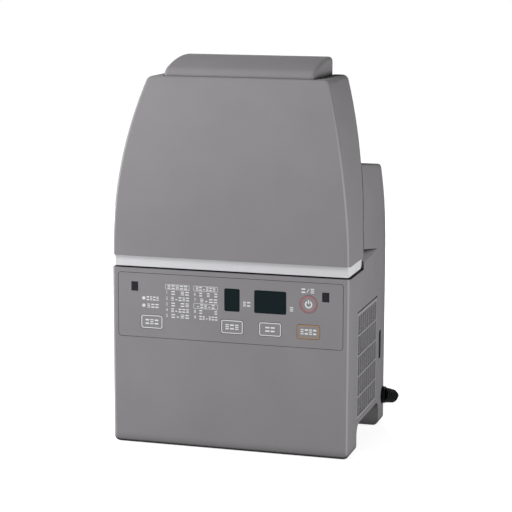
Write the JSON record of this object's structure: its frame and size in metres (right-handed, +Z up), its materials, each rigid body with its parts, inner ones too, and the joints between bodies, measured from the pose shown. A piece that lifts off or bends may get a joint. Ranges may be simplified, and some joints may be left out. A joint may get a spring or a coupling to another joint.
{
  "type": "bedding dryer",
  "caption": "Upright warm-air bedding dryer: box casing on a tunnel base, swing-up air lid, handle, key panel with displays, side intake filter, coiled mains cord.",
  "frame": {"origin": "on the floor, under the middle of the casing", "axes": "+X to the object's right as it faces the viewer's right hand in the front view, +Y from the front to the back, +Z up"},
  "size_m": [0.2504, 0.28, 0.3759],
  "materials": {
    "casing_grey": "fine satin texture, warm mid grey",
    "band_white": "smooth satin, pale cool grey",
    "key_grey": "satin, same grey as the panel",
    "window_dark": "smoked, glossy",
    "lens": "clear white, glossy",
    "rubber_black": "matt black",
    "board_green": "green laminate with solder mask",
    "part_black": "black moulding",
    "liner_grey": "dark grey moulding",
    "frame_white": "heat-proof off-white moulding",
    "steel": "plain bright",
    "zinc": "zinc plated",
    "fin_aluminium": "thin pressed fins",
    "filter_fibre": "dark open-weave fibre",
    "brass_pin": "nickel-bright brass blades"
  },
  "bodies": {
    "body": {"casing": "casing_grey", "rear_cover": "casing_grey", "control_panel": "casing_grey", "carry_handle": "casing_grey", "outlet_tower": "liner_grey", "lower_outlet_grille": "part_black", "upper_outlet_grille": "part_black", "course_window": "window_dark", "time_window": "window_dark", "sensor_windows": "window_dark", "size_lenses": "lens", "control_board": "board_green", "power_board": "board_green", "key_switches": "part_black", "digit_modules": "part_black", "power_components": "part_black", "board_screws": "zinc", "casing_screws": "zinc", "hinge_pins": "steel", "friction_washers": "part_black", "blower_housing": "part_black", "fan_motor": "zinc", "heater_frame": "frame_white", "heater_core": "fin_aluminium", "thermostat": "zinc", "feet": "rubber_black", "cord_boot": "rubber_black", "cord_lead": "rubber_black", "cord_coil": "rubber_black", "cord_tail": "rubber_black", "cord_tie": "part_black", "plug_body": "rubber_black", "plug_blades": "brass_pin"},
    "lid": {"lid_shell": "casing_grey", "lid_trim": "band_white", "lid_liner": "liner_grey"},
    "fan_wheel": {"impeller": "liner_grey", "motor_shaft": "steel"},
    "intake": {"intake_cover": "casing_grey", "filter_pad": "filter_fibre"},
    "size_key": {"size_key": "key_grey"},
    "course_key": {"course_key": "key_grey"},
    "time_key": {"time_key": "key_grey"},
    "start_key": {"start_key": "key_grey"},
    "power_key": {"power_key": "key_grey"}
  },
  "joints": [
    {"name": "lid_hinge", "type": "hinge", "parent": "body", "child": "lid", "pos_m": [0, -0.0215, 0.3506], "axis": [-1, 0, 0], "range_deg": [0, 90]},
    {"name": "size_key_press", "type": "slide", "parent": "body", "child": "size_key", "axis": [0, 1, 0], "range_m": [0, 0.0006], "stiffness_N_per_m": 400},
    {"name": "course_key_press", "type": "slide", "parent": "body", "child": "course_key", "axis": [0, 1, 0], "range_m": [0, 0.0006], "stiffness_N_per_m": 400},
    {"name": "time_key_press", "type": "slide", "parent": "body", "child": "time_key", "axis": [0, 1, 0], "range_m": [0, 0.0006], "stiffness_N_per_m": 400},
    {"name": "start_key_press", "type": "slide", "parent": "body", "child": "start_key", "axis": [0, 1, 0], "range_m": [0, 0.0006], "stiffness_N_per_m": 400},
    {"name": "power_key_press", "type": "slide", "parent": "body", "child": "power_key", "axis": [0, 1, 0], "range_m": [0, 0.0006], "stiffness_N_per_m": 400},
    {"name": "fan_spin", "type": "hinge", "parent": "body", "child": "fan_wheel", "pos_m": [0, -0.002, 0.085], "axis": [1, 0, 0], "continuous": true},
    {"name": "intake_lift_off", "type": "slide", "parent": "body", "child": "intake", "axis": [1, 0, 0], "range_m": [0, 0.04]}
  ]
}
